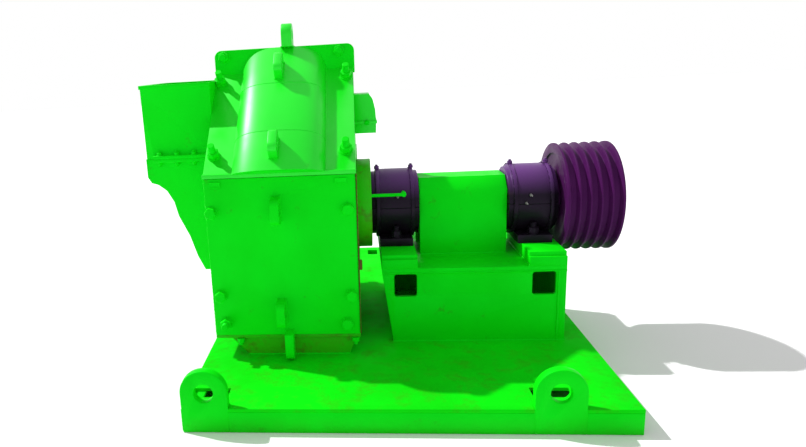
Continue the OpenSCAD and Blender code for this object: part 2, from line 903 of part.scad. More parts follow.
module bearing_cap(x) {
    color(purple) difference() {
        bearing_body(x);
        block([x - brg_half - eps, shaft_y - brg_r - eps, shaft_z - brg_r - eps],
            [x + brg_half + eps, shaft_y + brg_r + eps, shaft_z]);
        rod(x - brg_half - eps, 2 * brg_half + 2 * eps, shaft_r + run_gap);
    }
}

module bearing_in_base() {
    bearing_base(brg_in_x);
}

module bearing_in_cap() {
    bearing_cap(brg_in_x);
}

module bearing_out_base() {
    bearing_base(brg_out_x);
}

module bearing_out_cap() {
    bearing_cap(brg_out_x);
}

// The guard's outline across the shaft, smaller by the given amount
module guard_outline(in) {
    half = guard_w / 2 - in;
    bevel = guard_bevel - in * (2 - sqrt(2));
    z0 = ped_top + top_t - (in > 0 ? eps : 0);
    z1 = shaft_z + guard_up - in;
    translate([shaft_y, 0]) polygon([[-half, z0], [-half, z1 - bevel], [bevel - half, z1],
        [half - bevel, z1], [half, z1 - bevel], [half, z0]]);
}

module shaft_guard() {
    color(green) difference() {
        along_x(guard_x0, guard_len) guard_outline(0);
        along_x(guard_x0 - eps, guard_len + 2 * eps) guard_outline(guard_t);
    }
}

// The grease pipe from the seal housing, with its turn into the bearing's body
module grease_pipe() {
    lift = 57;
    reach = 148;
    turn = 30;
    end_x = brg_in_x + turn;
    color(green) {
        translate([seal_x1, shaft_y - reach, shaft_z + lift]) rotate([0, right_angle, 0])
            cylinder(r = pipe_r, h = end_x - seal_x1);
        difference() {
            translate([end_x, shaft_y - reach, shaft_z + lift]) rotate([-right_angle, 0, 0])
                cylinder(r = pipe_r + pipe_wall, h = turn);
            rod(end_x - turn, 2 * turn, brg_r);
        }
    }
}

module shaft() {
    color(steel) {
        rod(shaft_x0, brg_out_x + brg_half + pulley_gap / 2 - shaft_x0, shaft_r);
        rod(brg_out_x, shaft_x1 - brg_out_x, shaft_end_r);
    }
}

module rotor_hub() {
    color(steel) difference() {
        rod(rotor_x0, rotor_len, hub_r);
        rod(rotor_x0 - eps, rotor_len + 2 * eps, shaft_r);
    }
}

// The hammers' pins, the given amount larger and longer
module pins(more) {
    for (i = [0:hammer_n - 1])
        translate([rotor_x0 - more, shaft_y, shaft_z]) rotate([full_turn * i / hammer_n, 0, 0])
            translate([0, pin_c, 0]) rotate([0, right_angle, 0])
                cylinder(r = pin_r + (more > 0 ? pin_gap : 0), h = rotor_len + 2 * more);
}

module hammer_pins() {
    color(steel) pins(0);
}

module rotor_discs() {
    color(steel) for (i = [0:disc_n - 1]) difference() {
        rod(rotor_x0 + i * disc_step, disc_t, disc_r);
        rod(rotor_x0 - eps, rotor_len + 2 * eps, hub_r);
        pins(eps);
    }
}

module hammers() {
    side = 2;
    color(steel) difference() {
        for (i = [0:hammer_n - 1], k = [0:disc_n - 2])
            translate([rotor_x0 + disc_t + k * disc_step + side, shaft_y, shaft_z])
                rotate([full_turn * i / hammer_n, 0, 0])
                    translate([0, hammer_r - hammer_d, -hammer_t / 2])
                        cube([disc_step - disc_t - 2 * side, hammer_d - hammer_tip, hammer_t]);
        pins(eps);
    }
}

// Hub, web and rim, with the grooves cut into the rim
module pulley() {
    rim_in = pulley_r - groove_deep - rim_t;
    web_z = web_in;
    color(purple) translate([pulley_x0, shaft_y, shaft_z]) rotate([0, right_angle, 0]) difference() {
        rotate_extrude() difference() {
            union() {
                translate([rim_in, 0]) square([pulley_r - rim_in, pulley_w]);
                translate([shaft_end_r, web_z]) square([pulley_r - groove_deep - shaft_end_r, web_t]);
                translate([shaft_end_r, 0]) square([pulley_hub_r - shaft_end_r, pulley_w - hub_drop]);
            }
            for (i = [0:groove_n - 1]) translate([0, groove_edge + i * groove_pitch])
                polygon([[pulley_r + eps, -groove_top / 2], [pulley_r - groove_deep, -groove_low / 2],
                    [pulley_r - groove_deep, groove_low / 2], [pulley_r + eps, groove_top / 2]]);
        }
    }
}

rail_front();
rail_rear();
rail_left();
rail_right();
cross_beams();
deck_plate();
eyes_front();
eyes_rear();
discharge_skirt();
housing_bottom();
side_left();
side_right();
frame_front();
frame_rear();
door_front();
door_rear();
liners();
cover_front();
cover_rear();
split_front();
split_rear();
cover_lugs();
breaker_bars();
lifting_lug();
chute_upper();
chute_lower();
vent_hood();
seal_housing();
pedestal_front();
pedestal_back();
pedestal_ends();
pedestal_top();
bearing_seats();
bearing_in_base();
bearing_in_cap();
bearing_out_base();
bearing_out_cap();
shaft_guard();
grease_pipe();
shaft();
rotor_hub();
rotor_discs();
hammer_pins();
hammers();
pulley();
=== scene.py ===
import json
import math
import random
import bpy
import bmesh
from mathutils import Matrix, Vector


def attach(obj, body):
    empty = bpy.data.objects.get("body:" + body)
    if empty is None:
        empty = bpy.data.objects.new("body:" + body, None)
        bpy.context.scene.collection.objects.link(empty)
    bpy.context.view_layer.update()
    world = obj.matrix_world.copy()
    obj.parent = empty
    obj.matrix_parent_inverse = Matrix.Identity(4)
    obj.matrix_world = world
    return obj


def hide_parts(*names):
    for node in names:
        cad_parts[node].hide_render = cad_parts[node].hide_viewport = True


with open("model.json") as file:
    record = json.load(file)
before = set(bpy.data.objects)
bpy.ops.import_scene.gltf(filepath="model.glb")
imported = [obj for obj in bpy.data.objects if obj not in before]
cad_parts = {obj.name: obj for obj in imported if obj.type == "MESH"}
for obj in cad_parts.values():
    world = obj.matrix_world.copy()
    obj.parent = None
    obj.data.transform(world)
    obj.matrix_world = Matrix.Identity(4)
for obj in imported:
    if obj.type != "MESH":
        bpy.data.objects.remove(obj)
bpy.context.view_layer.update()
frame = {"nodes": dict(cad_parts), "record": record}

# The frame's nodes, the millimetre and a seeded random source
NODES = frame["nodes"]
MM = 0.001
rng = random.Random(7)

# Places that the source's own sizes give, in millimetres
SHAFT_Y, SHAFT_Z = -108, 555
HOUSE_X0, HOUSE_X1 = -650, -125
HOUSE_Y0, KNEE_Z, CROWN_Z = -494, 744, 1066
HOUSE_XC = -387.5
HOUSE_FOOT_Z, HOUSE_SEAM_Z = 166, 742
DOOR_Y = -522
DECK_Z = 82
SLOPE_RUN = 370
SLOPE = math.atan2(CROWN_Z - KNEE_Z, SLOPE_RUN)
COVER_T = 14
SPLIT_Y, SPLIT_BOLT_Z, SPLIT_TOP_Z = -124, 1150, 1175
BRG_IN_X, BRG_OUT_X = 20, 528
BRG_HALF = 89
BRG_COVER_R = 106
FOOT_BOLT_Y = 125
FOOT_T = 30
SEAT_Z = 413
PED_X0, PED_X1 = -41, 608
PED_Y0, PED_Y1 = -392, 176
PED_LEAN, PED_POST, PED_SEAT = 37, 28, 128
PED_PLATE_Z, PED_TOP_Z = 347, 364
GUARD_X0, GUARD_X1, GUARD_HALF = 114, 434, 100
BRG_R = 133
PULLEY_X0 = 627
EYE_XS, EYE_HALF = (-615, 455), 75
EDGE_SEAM_Y = 888.7
EYE_BACK_Y = 860

# Angles past which an edge is shaded sharp, and the distance within which doubles merge
SMOOTH = math.radians(35)
MERGE = 0.00002


def mm(x, y, z):
    return Vector((x, y, z)) * MM


def rear(y):
    """The rear half's place that mirrors a front one across the shaft."""
    return 2 * SHAFT_Y - y


def on_slope(x, along, out=COVER_T):
    """A point on the front slope: along runs up it and out stands away from it."""
    y = HOUSE_Y0 + along * math.cos(SLOPE) - out * math.sin(SLOPE)
    z = KNEE_Z + along * math.sin(SLOPE) + out * math.cos(SLOPE)
    return (x, y, z)


SLOPE_OUT = Vector((0, -math.sin(SLOPE), math.cos(SLOPE)))


# Selection and editing
def clear():
    for o in list(bpy.context.selected_objects):
        o.select_set(False)


def only(obj):
    clear()
    obj.select_set(True)
    bpy.context.view_layer.objects.active = obj


def edit(obj, test=None, kind="FACE"):
    """Opens the mesh for editing with the faces, or edges, that pass the test selected."""
    only(obj)
    bpy.ops.object.mode_set(mode="EDIT")
    bpy.ops.mesh.select_mode(type=kind)
    bpy.ops.mesh.select_all(action="DESELECT")
    if test is not None:
        mesh = bmesh.from_edit_mesh(obj.data)
        for part in mesh.faces if kind == "FACE" else mesh.edges:
            part.select_set(bool(test(part)))
        mesh.select_flush_mode()
        bmesh.update_edit_mesh(obj.data)


def done():
    bpy.ops.object.mode_set(mode="OBJECT")


def settle(obj):
    """Applies the object's place, turn and scale, so that it sits at the origin."""
    only(obj)
    bpy.ops.object.transform_apply(location=True, rotation=True, scale=True)
    return obj


def outwards(obj):
    edit(obj)
    bpy.ops.mesh.select_all(action="SELECT")
    bpy.ops.mesh.normals_make_consistent(inside=False)
    done()


def apply(obj, kind, **settings):
    only(obj)
    mod = obj.modifiers.new(kind.lower(), kind)
    for key, value in settings.items():
        setattr(mod, key, value)
    bpy.ops.object.modifier_apply(modifier=mod.name)


def soften(obj, width, segments=2, angle=40):
    apply(obj, "BEVEL", width=width * MM, segments=segments, limit_method="ANGLE",
          angle_limit=math.radians(angle), harden_normals=False)


def smooth(obj, angle=SMOOTH):
    only(obj)
    bpy.ops.object.shade_smooth_by_angle(angle=angle)


def up(face):
    return face.normal.z > 0.9


def join(objs, name):
    clear()
    for o in objs:
        o.select_set(True)
    bpy.context.view_layer.objects.active = objs[0]
    bpy.ops.object.join()
    objs[0].name = name
    return objs[0]


def copy_to(source, place, axis, turn=0.0, size=1.0):
    """A copy with its own mesh, its Z axis laid along the given one."""
    only(source)
    bpy.ops.object.duplicate(linked=False)
    twin = bpy.context.view_layer.objects.active
    lay = Vector((0, 0, 1)).rotation_difference(Vector(axis).normalized())
    twin.matrix_world = (Matrix.Translation(mm(*place)) @ lay.to_matrix().to_4x4()
                         @ Matrix.Rotation(turn, 4, "Z") @ Matrix.Scale(size, 4))
    bpy.context.view_layer.update()
    return settle(twin)


def strew(source, name, places):
    """Copies of one source at many places and axes, joined into one piece."""
    return join([copy_to(source, p, a, rng.uniform(0, 1)) for p, a in places], name)


def remove(obj):
    bpy.data.objects.remove(obj, do_unlink=True)


# Bolts, nuts and washers
def washer(radius, height):
    bpy.ops.mesh.primitive_cylinder_add(vertices=24, radius=radius * MM, depth=height * MM,
                                        location=(0, 0, height * MM / 2))
    obj = settle(bpy.context.object)
    edit(obj, up)
    bpy.ops.mesh.inset(thickness=0.8 * MM)
    bpy.ops.transform.translate(value=(0, 0, 0.5 * MM))
    done()
    return obj


def hexagon(flats, base, height):
    radius = flats / 2 / math.cos(math.pi / 6)
    bpy.ops.mesh.primitive_cylinder_add(vertices=6, radius=radius * MM, depth=height * MM,
                                        location=(0, 0, (base + height / 2) * MM))
    obj = settle(bpy.context.object)
    edit(obj, up)
    bpy.ops.mesh.inset(thickness=0.09 * flats * MM)
    bpy.ops.transform.translate(value=(0, 0, 0.05 * flats * MM))
    done()
    soften(obj, 0.03 * flats, 1)
    return obj


def stud(radius, base, length, threads):
    """A round end with turns of thread made by pulling out rings one after another."""
    bpy.ops.mesh.primitive_cylinder_add(vertices=12, radius=radius * MM, depth=1 * MM,
                                        location=(0, 0, base * MM))
    obj = settle(bpy.context.object)
    edit(obj, up)
    step = length / (2 * threads)
    for i in range(2 * threads):
        bpy.ops.mesh.extrude_region_move(TRANSFORM_OT_translate={"value": (0, 0, step * MM)})
        size = 0.9 if i % 2 == 0 else 1 / 0.9
        bpy.ops.transform.resize(value=(size, size, 1))
    bpy.ops.mesh.inset(thickness=0.15 * radius * MM)
    bpy.ops.transform.translate(value=(0, 0, 0.12 * radius * MM))
    done()
    return obj


def make_bolt(name, flats, head, thread, washer_t):
    """A washer under a head or nut, with the thread's end standing out of it where given."""
    parts = [washer(flats * 0.62, washer_t), hexagon(flats, washer_t, head)]
    if thread:
        parts.append(stud(flats * 0.33, washer_t + head, thread, max(3, round(thread / 4))))
    obj = join(parts, name)
    outwards(obj)
    return obj


# Weld beads
BEAD_STEP, BEAD_WANDER = 7.0, 0.08


def bead(name, points, radius):
    """A rippled bead along a line of points, made as a curve of changing thickness."""
    line = []
    for a, b in zip(points, points[1:]):
        a, b = Vector(a), Vector(b)
        count = max(2, round((b - a).length / BEAD_STEP))
        for i in range(count):
            line.append(a + (b - a) * i / count)
    line.append(Vector(points[-1]))
    data = bpy.data.curves.new(name, "CURVE")
    data.dimensions = "3D"
    data.bevel_depth = radius * MM
    data.bevel_resolution = 1
    data.use_fill_caps = True
    path = data.splines.new("POLY")
    path.points.add(len(line) - 1)
    for i, p in enumerate(line):
        wander = Vector((rng.uniform(-1, 1), rng.uniform(-1, 1), rng.uniform(-1, 1)))
        path.points[i].co = (*((p + wander * BEAD_WANDER * radius) * MM), 1)
        path.points[i].radius = (1.08 if i % 2 else 0.88) + rng.uniform(-0.08, 0.08)
    obj = bpy.data.objects.new(name, data)
    bpy.context.collection.objects.link(obj)
    only(obj)
    bpy.ops.object.convert(target="MESH")
    return bpy.context.object


def beads(name, lines, radius):
    return join([bead(name, line, radius) for line in lines], name)


# Plates made of a box that is cut to shape
def plate(name, low, high, soft):
    """A box between two corners with its edges taken off."""
    low, high = Vector(low), Vector(high)
    bpy.ops.mesh.primitive_cube_add(size=1, location=(low + high) / 2 * MM)
    obj = bpy.context.object
    obj.scale = (high - low) * MM
    obj.name = name
    settle(obj)
    soften(obj, soft)
    return obj


# Materials
def new_node(tree, kind, **settings):
    node = tree.nodes.new(kind)
    for key, value in settings.items():
        setattr(node, key, value)
    return node


def ramp(tree, low, high, low_value=(0, 0, 0, 1), high_value=(1, 1, 1, 1)):
    node = new_node(tree, "ShaderNodeValToRGB")
    node.color_ramp.elements[0].position = low
    node.color_ramp.elements[1].position = high
    node.color_ramp.elements[0].color = low_value
    node.color_ramp.elements[1].color = high_value
    return node


def noise(tree, where, scale, detail=4.0, rough=0.55):
    node = new_node(tree, "ShaderNodeTexNoise")
    node.inputs["Scale"].default_value = scale
    node.inputs["Detail"].default_value = detail
    node.inputs["Roughness"].default_value = rough
    tree.links.new(where, node.inputs["Vector"])
    return node.outputs["Fac"]


def mix(tree, share, a, b):
    node = new_node(tree, "ShaderNodeMix", data_type="RGBA")
    tree.links.new(share, node.inputs["Factor"])
    for socket, value in ((node.inputs[6], a), (node.inputs[7], b)):
        if isinstance(value, tuple):
            socket.default_value = value
        else:
            tree.links.new(value, socket)
    return node.outputs[2]


TONE_GRAIN, PATCH_GRAIN, FLOOR_GRAIN, DULL_GRAIN, DENT_GRAIN = 4.5, 17.0, 30.0, 9.0, 6.0
FLOOR_DIRT_TOP, FLOOR_DIRT_SHARE = 0.06, 0.55
PEEL_DEPTH, DENT_DEPTH, DENT_STRENGTH = 0.002, 0.004, 0.12


def make_material(name, base, second, dirt, rough, dirt_share=(0.62, 0.75),
                  metal=0.0, bump=0.05, grain=260.0, gloss=0.5, sheen=(1, 1, 1, 1),
                  floor_dirt=True, painted_sunlit_top=None):
    """A worn surface: two tones of the base, dirt in patches, uneven gloss and a fine bump, and
    where asked a painted sunlit top: a lighter tint above a given height.
    """
    material = bpy.data.materials.new(name)
    material.use_nodes = True
    tree = material.node_tree
    shader = tree.nodes["Principled BSDF"]
    where = new_node(tree, "ShaderNodeTexCoord").outputs["Object"]
    tone = ramp(tree, 0.35, 0.7)
    tree.links.new(noise(tree, where, TONE_GRAIN), tone.inputs["Fac"])
    colour = mix(tree, tone.outputs["Color"], base, second)
    patches = ramp(tree, *dirt_share)
    tree.links.new(noise(tree, where, PATCH_GRAIN, 8.0, 0.7), patches.inputs["Fac"])
    colour = mix(tree, patches.outputs["Color"], colour, dirt)
    if floor_dirt:
        height = new_node(tree, "ShaderNodeSeparateXYZ")
        tree.links.new(where, height.inputs[0])
        low_part = new_node(tree, "ShaderNodeMapRange")
        low_part.inputs["From Min"].default_value = FLOOR_DIRT_TOP
        low_part.inputs["From Max"].default_value = 0.0
        low_part.inputs["To Max"].default_value = FLOOR_DIRT_SHARE
        tree.links.new(height.outputs["Z"], low_part.inputs["Value"])
        broken = new_node(tree, "ShaderNodeMath", operation="MULTIPLY")
        tree.links.new(low_part.outputs[0], broken.inputs[0])
        tree.links.new(noise(tree, where, FLOOR_GRAIN, 6.0), broken.inputs[1])
        colour = mix(tree, broken.outputs[0], colour, dirt)
    # Painted sunlight: above a given height the colour turns to a lighter tint, standing for sun on
    # the top
    if painted_sunlit_top:
        painted_sunlit_tint, start, end = painted_sunlit_top
        level = new_node(tree, "ShaderNodeSeparateXYZ")
        tree.links.new(where, level.inputs[0])
        share = new_node(tree, "ShaderNodeMapRange")
        share.inputs["From Min"].default_value = start
        share.inputs["From Max"].default_value = end
        tree.links.new(level.outputs["Z"], share.inputs["Value"])
        colour = mix(tree, share.outputs[0], colour, painted_sunlit_tint)
    tree.links.new(colour, shader.inputs["Base Color"])
    dull = ramp(tree, 0.3, 0.7, (rough[0],) * 3 + (1,), (rough[1],) * 3 + (1,))
    tree.links.new(noise(tree, where, DULL_GRAIN, 6.0), dull.inputs["Fac"])
    tree.links.new(dull.outputs["Color"], shader.inputs["Roughness"])
    peel = new_node(tree, "ShaderNodeBump")
    peel.inputs["Strength"].default_value = bump
    peel.inputs["Distance"].default_value = PEEL_DEPTH
    tree.links.new(noise(tree, where, grain, 3.0), peel.inputs["Height"])
    dent = new_node(tree, "ShaderNodeBump")
    dent.inputs["Strength"].default_value = DENT_STRENGTH
    dent.inputs["Distance"].default_value = DENT_DEPTH
    tree.links.new(noise(tree, where, DENT_GRAIN, 2.0), dent.inputs["Height"])
    tree.links.new(peel.outputs["Normal"], dent.inputs["Normal"])
    tree.links.new(dent.outputs["Normal"], shader.inputs["Normal"])
    shader.inputs["Metallic"].default_value = metal
    shader.inputs["Specular IOR Level"].default_value = gloss
    shader.inputs["Specular Tint"].default_value = sheen
    return material


GREEN = make_material("green_paint", (0.004, 0.76, 0.005, 1), (0.004, 0.68, 0.004, 1),
                      (0.03, 0.34, 0.006, 1), rough=(0.38, 0.6), dirt_share=(0.62, 0.8),
                      gloss=0.12, sheen=(0.05, 1.0, 0.6, 1))
GLOSSY = make_material("glossy_green_paint", (0.004, 0.78, 0.008, 1), (0.004, 0.71, 0.006, 1),
                       (0.03, 0.36, 0.006, 1), rough=(0.33, 0.44), dirt_share=(0.66, 0.82),
                       gloss=0.6, sheen=(0.5, 1.0, 0.7, 1))
DECK = make_material("deck_paint", (0.004, 0.74, 0.006, 1), (0.006, 0.62, 0.004, 1),
                     (0.035, 0.4, 0.006, 1), rough=(0.5, 0.75), dirt_share=(0.5, 0.85),
                     gloss=0.03, sheen=(0.05, 1.0, 0.6, 1))
WORN = make_material("worn_green_paint", (0.02, 0.52, 0.004, 1), (0.06, 0.42, 0.004, 1),
                     (0.09, 0.13, 0.01, 1), rough=(0.3, 0.5), dirt_share=(0.5, 0.75),
                     gloss=0.3, sheen=(0.3, 1.0, 0.35, 1))
PURPLE = make_material("purple_paint", (0.075, 0.009, 0.088, 1), (0.056, 0.006, 0.068, 1),
                       (0.02, 0.008, 0.02, 1), rough=(0.3, 0.48), gloss=0.09,
                       sheen=(0.8, 0.5, 1.0, 1), floor_dirt=False)
# The bearings' paint is near-black, with a painted sunlit top: a lighter purple band at their tops
# where the sun falls
BEARING = make_material("bearing_paint", (0.008, 0.005, 0.010, 1), (0.005, 0.005, 0.006, 1),
                        (0.02, 0.014, 0.012, 1), rough=(0.25, 0.45), bump=0.2, grain=120.0,
                        gloss=0.16, sheen=(0.8, 0.6, 1.0, 1), floor_dirt=False,
                        painted_sunlit_top=((0.125, 0.04, 0.19, 1), 0.59, 0.68))
RUST = make_material("rusty_seam", (0.12, 0.06, 0.015, 1), (0.05, 0.16, 0.01, 1),
                     (0.03, 0.012, 0.006, 1), rough=(0.6, 0.85), bump=0.4, grain=140.0,
                     gloss=0.2, floor_dirt=False)
ZINC = make_material("zinc_fitting", (0.22, 0.22, 0.21, 1), (0.14, 0.14, 0.13, 1),
                     (0.08, 0.06, 0.04, 1), rough=(0.25, 0.45), metal=1.0, floor_dirt=False)
BARE = make_material("bare_steel", (0.42, 0.42, 0.44, 1), (0.34, 0.33, 0.33, 1),
                     (0.2, 0.12, 0.06, 1), rough=(0.3, 0.5), metal=1.0, floor_dirt=False)
CAST = make_material("cast_steel", (0.16, 0.15, 0.14, 1), (0.11, 0.1, 0.1, 1),
                     (0.2, 0.09, 0.04, 1), rough=(0.55, 0.8), metal=0.7, bump=0.35,
                     grain=90.0, floor_dirt=False)
SLOTS = {"green_paint": GREEN, "purple_paint": PURPLE, "bare_steel": BARE, "cast_steel": CAST}
BEARINGS = [n for n in NODES if n.startswith("bearing_") and n != "bearing_seats"]


def dress(obj, material):
    obj.data.materials.clear()
    obj.data.materials.append(material)


def finish_piece(obj, material, body="frame"):
    dress(obj, material)
    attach(obj, body)


for row in frame["record"]["subparts"]:
    dress(NODES[row["node"]], SLOTS[row["material_slot"]])
for name in BEARINGS:
    dress(NODES[name], BEARING)


# Rounded copies that stand for the source's own plates
def round_copy(name, width, body="frame"):
    """A copy of a node with its doubles merged and its edges rounded."""
    node = NODES[name]
    only(node)
    bpy.ops.object.duplicate(linked=False)
    twin = bpy.context.view_layer.objects.active
    matrix = twin.matrix_world.copy()
    twin.parent = None
    twin.matrix_world = matrix
    twin.name = name + "_rounded"
    for key in list(twin.keys()):
        del twin[key]
    settle(twin)
    edit(twin)
    bpy.ops.mesh.select_all(action="SELECT")
    bpy.ops.mesh.remove_doubles(threshold=MERGE)
    bpy.ops.mesh.dissolve_limited(angle_limit=math.radians(0.6))
    bpy.ops.mesh.normals_make_consistent(inside=False)
    done()
    soften(twin, width, 2, 50)
    smooth(twin)
    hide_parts(name)
    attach(twin, body)
    return twin


ROUNDED = {
    "rail_front": 2.0, "rail_rear": 2.0, "rail_left": 2.0, "rail_right": 2.0, "deck_plate": 1.6,
    "eyes_front": 2.5, "eyes_rear": 2.5, "discharge_skirt": 1.2, "housing_bottom": 1.5,
    "side_left": 1.0, "side_right": 1.0, "frame_front": 1.2, "frame_rear": 1.2,
    "door_front": 2.2, "door_rear": 2.2, "split_front": 2.0, "split_rear": 2.0,
    "cover_lugs": 2.5, "lifting_lug": 2.5, "chute_upper": 1.6, "chute_lower": 1.6,
    "vent_hood": 1.2, "seal_housing": 2.5, "pedestal_front": 1.5, "pedestal_back": 1.5,
    "pedestal_ends": 1.5, "pedestal_top": 2.0, "bearing_seats": 2.5, "shaft_guard": 1.2,
    "cover_front": 1.2, "cover_rear": 1.2,
}
LOOKS = {"deck_plate": DECK, "cover_front": GLOSSY, "cover_rear": GLOSSY, "cover_lugs": GLOSSY,
         "lifting_lug": GLOSSY, "vent_hood": GLOSSY, "discharge_skirt": WORN,
         "housing_bottom": WORN, "seal_housing": WORN}
for name, width in ROUNDED.items():
    twin = round_copy(name, width)
    dress(twin, LOOKS.get(name, GREEN))
dress(NODES["cross_beams"], WORN)
for name in BEARINGS:
    twin = round_copy(name, 3.0)
    dress(twin, BEARING)
twin = round_copy("pulley", 0.9, "rotor")
dress(twin, PURPLE)

# The bolts' sources
door_bolt = make_bolt("door_bolt", 36, 18, 0, 4)
door_stud = make_bolt("door_stud", 36, 20, 22, 4)
slope_stud = make_bolt("slope_stud", 38, 20, 32, 4)
small_bolt = make_bolt("small_bolt", 17, 8, 5, 2)
flange_bolt = make_bolt("flange_bolt", 24, 13, 10, 3)
foot_nut = make_bolt("foot_nut", 36, 19, 18, 4)
FRONT, BACK, UP, DOWN, RIGHT = (0, -1, 0), (0, 1, 0), (0, 0, 1), (0, 0, -1), (1, 0, 0)

# Door bolts, both doors
DOOR_PLACES = [(-628, 625), (-617, 320), (-155, 624), (-151, 315), (-170, 211)]
places = [((x, DOOR_Y, z), FRONT) for x, z in DOOR_PLACES]
places += [((x, rear(DOOR_Y), z), BACK) for x, z in DOOR_PLACES]
finish_piece(strew(door_bolt, "door_bolts", places), GREEN)
STUD_X, STUD_Z = -604, 217
places = [((STUD_X, DOOR_Y, STUD_Z), FRONT), ((STUD_X, rear(DOOR_Y), STUD_Z), BACK)]
finish_piece(strew(door_stud, "door_studs", places), GREEN)

# Studs on the slopes, square to the covers
SLOPE_PLACES = [(-631, 454), (-620, 84), (-152, 458), (-156, 88)]
places = []
for x, along in SLOPE_PLACES:
    px, py, pz = on_slope(x, along)
    places.append(((px, py, pz), SLOPE_OUT))
    places.append(((px, rear(py), pz), (0, math.sin(SLOPE), math.cos(SLOPE))))
finish_piece(strew(slope_stud, "slope_studs", places), GREEN)

# Bolts through the split flange
places = []
for x in (-618, -176):
    places.append(((x, SPLIT_Y, SPLIT_BOLT_Z), FRONT))
    places.append(((x, rear(SPLIT_Y), SPLIT_BOLT_Z), BACK))
finish_piece(strew(foot_nut, "split_bolts", places), GREEN)

# Bolts of the chute's joint, above and below its two bars
CHUTE_BOLT_Y, BAR_TOP_Z, BAR_UNDER_Z = -295, 802, 776
places = []
for x in (-862, -795, -728):
    places.append(((x, CHUTE_BOLT_Y, BAR_TOP_Z), UP))
    places.append(((x, CHUTE_BOLT_Y, BAR_UNDER_Z), DOWN))
finish_piece(strew(small_bolt, "chute_bolts", places), GREEN)

# The hood's joint bolt
HOOD_BOLT_X, HOOD_FRONT_Y, HOOD_BOLT_Z = -79, -176, 879
places = [((HOOD_BOLT_X, HOOD_FRONT_Y, HOOD_BOLT_Z), FRONT),
          ((HOOD_BOLT_X, rear(HOOD_FRONT_Y), HOOD_BOLT_Z), BACK)]
finish_piece(strew(small_bolt, "hood_bolts", places), GREEN)

# Foot nuts of the bearings
places = []
for x in (BRG_IN_X, BRG_OUT_X):
    for side in (-1, 1):
        places.append(((x, SHAFT_Y + side * FOOT_BOLT_Y, SEAT_Z + FOOT_T), UP))
finish_piece(strew(foot_nut, "foot_nuts", places), BEARING)

# Screws round the end covers that face the guard, flat because its ends stand close
SCREW_N = 8
places = []
for x, way in ((BRG_IN_X, 1), (BRG_OUT_X, -1)):
    for i in range(SCREW_N):
        turn = math.tau * (i + 0.5) / SCREW_N
        y = SHAFT_Y + BRG_COVER_R * math.cos(turn)
        z = SHAFT_Z + BRG_COVER_R * math.sin(turn)
        places.append(((x + way * BRG_HALF, y, z), (way, 0, 0)))
cover_screw = make_bolt("cover_screw", 13, 1.2, 0, 0.8)
finish_piece(strew(cover_screw, "end_cover_screws", places), BEARING)

# Cap bolts on both crowns
places = []
for x in (BRG_IN_X, BRG_OUT_X):
    for along in (-66, 66):
        places.append(((x + along, SHAFT_Y - 10, SHAFT_Z + BRG_R + 4), UP))
finish_piece(strew(small_bolt, "cap_bolts", places), BEARING)


def ring(name, x, radius, width, height):
    """A raised hoop round a bearing, spun from a small square section."""
    bpy.ops.mesh.primitive_plane_add(size=1, location=(0, 0, 0))
    hoop = bpy.context.object
    hoop.name = name
    hoop.scale = (width * MM, height * MM, 1)
    hoop.location = mm(x, SHAFT_Y + radius + height / 2 - 1, SHAFT_Z)
    settle(hoop)
    edit(hoop)
    bpy.ops.mesh.select_all(action="SELECT")
    bpy.ops.mesh.spin(steps=96, angle=math.tau, center=mm(x, SHAFT_Y, SHAFT_Z), axis=RIGHT)
    bpy.ops.mesh.select_all(action="SELECT")
    bpy.ops.mesh.remove_doubles(threshold=0.00001)
    bpy.ops.mesh.delete_loose()
    done()
    outwards(hoop)
    soften(hoop, 1.2)
    smooth(hoop)
    return hoop


hoops = [ring("hoop", x + side_x, BRG_R, 14, 5)
         for x in (BRG_IN_X, BRG_OUT_X) for side_x in (-65, 65)]
finish_piece(join(hoops, "bearing_hoops"), BEARING)

# Weld beads of the pedestal, the guard's foot and the seats
toe_x, post_x = PED_X0 + PED_LEAN, PED_X1 - PED_POST
LINES = [
    [(toe_x, PED_Y0, DECK_Z), (PED_X1, PED_Y0, DECK_Z), (PED_X1, PED_Y1, DECK_Z)],
    [(toe_x, PED_Y1, DECK_Z), (PED_X1, PED_Y1, DECK_Z)],
    [(toe_x, PED_Y0, DECK_Z), (toe_x, PED_Y1, DECK_Z)],
    [(post_x, PED_Y0, DECK_Z), (post_x, PED_Y0, PED_PLATE_Z)],
    [(post_x, PED_Y1, DECK_Z), (post_x, PED_Y1, PED_PLATE_Z)],
    [(PED_X0, PED_Y0 + 1, PED_PLATE_Z), (PED_X1, PED_Y0 + 1, PED_PLATE_Z)],
    [(PED_X0, PED_Y1 - 1, PED_PLATE_Z), (PED_X1, PED_Y1 - 1, PED_PLATE_Z)],
    [(PED_X0 + PED_SEAT, PED_Y0, PED_TOP_Z), (PED_X0 + PED_SEAT, PED_Y1, PED_TOP_Z)],
    [(PED_X1 - PED_SEAT, PED_Y0, PED_TOP_Z), (PED_X1 - PED_SEAT, PED_Y1, PED_TOP_Z)],
    [(GUARD_X0, SHAFT_Y - GUARD_HALF, PED_TOP_Z), (GUARD_X1, SHAFT_Y - GUARD_HALF, PED_TOP_Z)],
    [(GUARD_X0, SHAFT_Y + GUARD_HALF, PED_TOP_Z), (GUARD_X1, SHAFT_Y + GUARD_HALF, PED_TOP_Z)],
]
finish_piece(beads("pedestal_welds", LINES, 4.0), GREEN)

